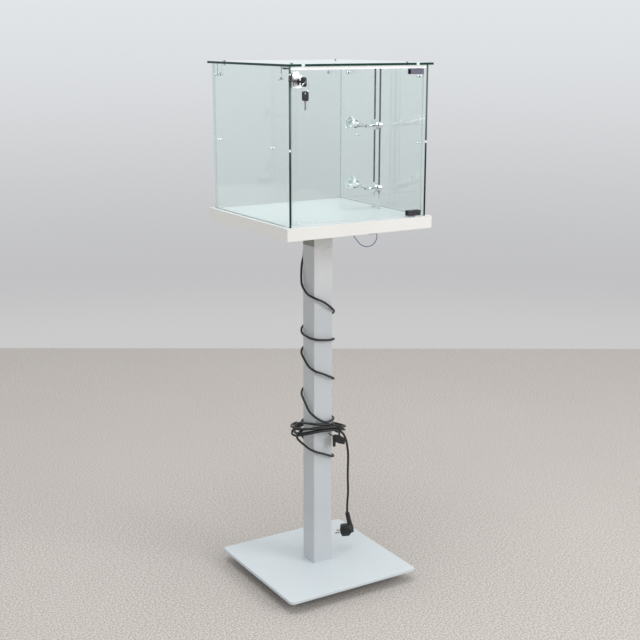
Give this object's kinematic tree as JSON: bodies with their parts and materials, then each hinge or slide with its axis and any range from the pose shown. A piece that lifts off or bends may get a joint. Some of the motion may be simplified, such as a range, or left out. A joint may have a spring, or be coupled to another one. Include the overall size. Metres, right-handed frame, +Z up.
{
  "type": "pedestal display case",
  "caption": "Glass showcase with a lockable hinged door and adjustable spots, on a square column with a castored base and a mains cord wound round the column.",
  "frame": {"origin": "on the floor, under the middle of the square column and base plate", "axes": "+Z up; -Y is the door side and -X the lock side"},
  "size_m": [0.44, 0.4825, 1.4568],
  "materials": {
    "grey_paint": "satin powder coat",
    "steel": "zinc plated",
    "chrome": "polished",
    "laminate": "white laminate, satin",
    "clear_glass": "clear, polished edges",
    "lamp_glass": "faceted reflector",
    "black_plastic": "fine texture",
    "white_plastic": "satin",
    "clear_pad": "soft, translucent",
    "black_rubber": "matt",
    "wheel_plastic": "hard tread",
    "cord_rubber": "matt sheath",
    "blue_wire": "smooth insulation",
    "strap_fabric": "hook and loop",
    "pin_metal": "nickel plated"
  },
  "bodies": {
    "stand": {"base_plate": "grey_paint", "castor_mounts": "steel", "castor_screws": "steel", "column": "grey_paint", "column_foot_block": "steel", "column_foot_bolts": "steel", "column_head_plate": "steel", "tray_screws": "steel", "tray": "laminate", "tray_pad": "clear_pad", "glass_left": "clear_glass", "glass_right": "clear_glass", "glass_back": "clear_glass", "glass_top": "clear_glass", "corner_brackets": "chrome", "bracket_screws": "chrome", "shelf_pins": "chrome", "head_strip": "white_plastic", "head_buffer": "black_rubber", "hinge_bushes": "white_plastic", "lock_keeper": "chrome", "light_rods": "chrome", "rod_fittings": "chrome", "wire_terminals": "black_plastic", "supply_wire": "blue_wire", "transformer": "black_plastic", "strain_relief": "cord_rubber", "cord_wrap": "cord_rubber", "cord_hank": "cord_rubber", "cord_drop": "cord_rubber", "plug_body": "cord_rubber", "plug_pins": "pin_metal", "cable_strap": "strap_fabric"},
    "door": {"glass_door": "clear_glass", "hinge_clamp_upper": "chrome", "hinge_clamp_lower": "chrome", "hinge_screws": "steel", "hinge_pins": "steel", "lock_case": "chrome"},
    "lock_plug": {"lock_plug": "chrome", "lock_cam": "steel"},
    "key": {"key": "black_plastic"},
    "key_ring": {"key_ring": "chrome"},
    "spare_key": {"spare_key": "black_plastic"},
    "castor_fl": {"castor_fork_fl": "black_plastic"},
    "wheels_fl": {"castor_wheels_fl": "wheel_plastic"},
    "castor_fr": {"castor_fork_fr": "black_plastic"},
    "wheels_fr": {"castor_wheels_fr": "wheel_plastic"},
    "castor_bl": {"castor_fork_bl": "black_plastic"},
    "wheels_bl": {"castor_wheels_bl": "wheel_plastic"},
    "castor_br": {"castor_fork_br": "black_plastic"},
    "wheels_br": {"castor_wheels_br": "wheel_plastic"},
    "spot_upper": {"spot_clamp_upper": "chrome", "spot_knob_upper": "chrome"},
    "lamp_upper": {"spot_head_upper": "chrome", "spot_lamp_upper": "lamp_glass"},
    "spot_lower": {"spot_clamp_lower": "chrome", "spot_knob_lower": "chrome"},
    "lamp_lower": {"spot_head_lower": "chrome", "spot_lamp_lower": "lamp_glass"}
  },
  "joints": [
    {"name": "door_hinge", "type": "hinge", "parent": "stand", "child": "door", "pos_m": [0.179, -0.2025, 1.25], "axis": [0, 0, 1], "range_deg": [0, 105]},
    {"name": "lock_turn", "type": "hinge", "parent": "door", "child": "lock_plug", "pos_m": [-0.187, -0.21, 1.413], "axis": [0, 1, 0], "range_deg": [0, 90]},
    {"name": "key_pull", "type": "slide", "parent": "lock_plug", "child": "key", "axis": [0, -1, 0], "range_m": [0, 0.03]},
    {"name": "ring_swing", "type": "hinge", "parent": "key", "child": "key_ring", "pos_m": [-0.187, -0.2512, 1.4108], "axis": [0.9848, 0.1736, 0], "range_deg": [-35, 35]},
    {"name": "spare_key_swing", "type": "hinge", "parent": "key_ring", "child": "spare_key", "pos_m": [-0.187, -0.2512, 1.3888], "axis": [0.9848, 0.1736, 0], "range_deg": [-20, 20]},
    {"name": "swivel_fl", "type": "hinge", "parent": "stand", "child": "castor_fl", "pos_m": [-0.128, -0.128, 0.023], "axis": [0, 0, 1], "continuous": true},
    {"name": "roll_fl", "type": "hinge", "parent": "castor_fl", "child": "wheels_fl", "pos_m": [-0.13931, -0.13931, 0.0125], "axis": [0.7071, -0.7071, 0], "continuous": true},
    {"name": "swivel_fr", "type": "hinge", "parent": "stand", "child": "castor_fr", "pos_m": [0.128, -0.128, 0.023], "axis": [0, 0, 1], "continuous": true},
    {"name": "roll_fr", "type": "hinge", "parent": "castor_fr", "child": "wheels_fr", "pos_m": [0.11815, -0.14061, 0.0125], "axis": [0.788, -0.6157, 0], "continuous": true},
    {"name": "swivel_bl", "type": "hinge", "parent": "stand", "child": "castor_bl", "pos_m": [-0.128, 0.128, 0.023], "axis": [0, 0, 1], "continuous": true},
    {"name": "roll_bl", "type": "hinge", "parent": "castor_bl", "child": "wheels_bl", "pos_m": [-0.13871, 0.11611, 0.0125], "axis": [0.7431, -0.6691, 0], "continuous": true},
    {"name": "swivel_br", "type": "hinge", "parent": "stand", "child": "castor_br", "pos_m": [0.128, 0.128, 0.023], "axis": [0, 0, 1], "continuous": true},
    {"name": "roll_br", "type": "hinge", "parent": "castor_br", "child": "wheels_br", "pos_m": [0.11905, 0.11474, 0.0125], "axis": [0.829, -0.5592, 0], "continuous": true},
    {"name": "slide_upper", "type": "slide", "parent": "stand", "child": "spot_upper", "axis": [0, 0, 1], "range_m": [-0.1, 0.1]},
    {"name": "tilt_upper", "type": "hinge", "parent": "spot_upper", "child": "lamp_upper", "pos_m": [0.141, -0.024, 1.282], "axis": [0, 1, 0], "range_deg": [-45, 45]},
    {"name": "slide_lower", "type": "slide", "parent": "stand", "child": "spot_lower", "axis": [0, 0, 1], "range_m": [-0.03, 0.1]},
    {"name": "tilt_lower", "type": "hinge", "parent": "spot_lower", "child": "lamp_lower", "pos_m": [0.141, -0.024, 1.1115], "axis": [0, 1, 0], "range_deg": [-25, 45]}
  ]
}
